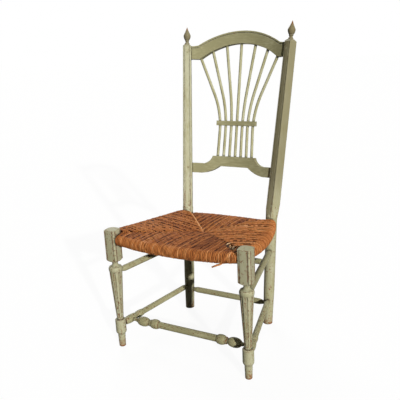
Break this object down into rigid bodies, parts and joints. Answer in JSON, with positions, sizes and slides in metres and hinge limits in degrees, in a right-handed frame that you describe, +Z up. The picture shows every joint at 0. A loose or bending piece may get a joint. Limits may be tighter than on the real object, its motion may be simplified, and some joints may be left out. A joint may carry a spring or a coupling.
{
  "type": "nursing chair",
  "caption": "Low rush-seated nursing chair in worn sage paint, with turned fluted front legs, a concave wheatsheaf back of bent spindles, turned finials and turned stretchers.",
  "frame": {"origin": "centre of the chair's bounding box, on the floor", "axes": "+X to the right seen from in front, +Y from the front of the seat to its back, +Z up"},
  "size_m": [0.452, 0.5228, 0.9169],
  "materials": {
    "painted_wood": "worn satin paint over hardwood",
    "bare_wood": "unpainted hardwood",
    "rush": "twisted and woven rush"
  },
  "bodies": {
    "root": {"front_leg_left": "painted_wood", "front_leg_right": "painted_wood", "rear_post_left": "painted_wood", "rear_post_right": "painted_wood", "crest_rail": "painted_wood", "lower_back_rail": "painted_wood", "spindle_band": "painted_wood", "spindle_1": "painted_wood", "spindle_2": "painted_wood", "spindle_3": "painted_wood", "spindle_4": "painted_wood", "spindle_5": "painted_wood", "spindle_6": "painted_wood", "spindle_7": "painted_wood", "front_stretcher": "painted_wood", "lower_side_stretcher_left": "painted_wood", "lower_side_stretcher_right": "painted_wood", "upper_side_stretcher_left": "painted_wood", "upper_side_stretcher_right": "painted_wood", "upper_rear_stretcher": "painted_wood", "lower_rear_stretcher": "painted_wood", "crest_rail_pegs": "painted_wood", "lower_back_rail_pegs": "painted_wood", "seat_rail_front": "bare_wood", "seat_rail_rear": "bare_wood", "seat_rail_left": "bare_wood", "seat_rail_right": "bare_wood", "rush_seat": "rush"}
  },
  "joints": []
}
